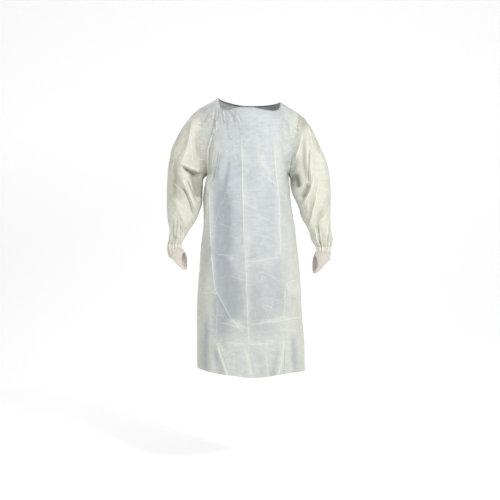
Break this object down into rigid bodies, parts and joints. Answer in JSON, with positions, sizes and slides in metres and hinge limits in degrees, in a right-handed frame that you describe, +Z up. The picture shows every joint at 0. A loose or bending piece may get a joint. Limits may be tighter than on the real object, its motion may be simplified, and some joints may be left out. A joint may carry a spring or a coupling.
{
  "type": "isolation gown",
  "caption": "Thin disposable isolation gown worn over the head, with long gathered sleeves, thumb-hole cuffs, an open back and waist ties tied behind.",
  "frame": {"origin": "midway between the neck points of the two shoulder seams, where the wearer's shoulders hold the gown", "axes": "+Z up, the front faces -Y, the wearer's right is -X"},
  "size_m": [0.6747, 0.3223, 1.1241],
  "materials": {
    "gown_cloth": "thin nonwoven, matt with a slight sheen",
    "sleeve_cloth": "thin nonwoven, matt with a slight sheen",
    "elastic_casing": "gathered nonwoven over elastic",
    "cuff_cloth": "thin nonwoven",
    "tie_cloth": "doubled nonwoven strap"
  },
  "bodies": {
    "root": {"front": "gown_cloth", "back_right": "gown_cloth", "back_left": "gown_cloth", "sleeve_right": "sleeve_cloth", "sleeve_left": "sleeve_cloth", "wrist_band_right": "elastic_casing", "wrist_band_left": "elastic_casing", "thumb_cuff_right": "cuff_cloth", "thumb_cuff_left": "cuff_cloth", "waist_tie_right": "tie_cloth", "waist_tie_left": "tie_cloth"}
  },
  "joints": []
}
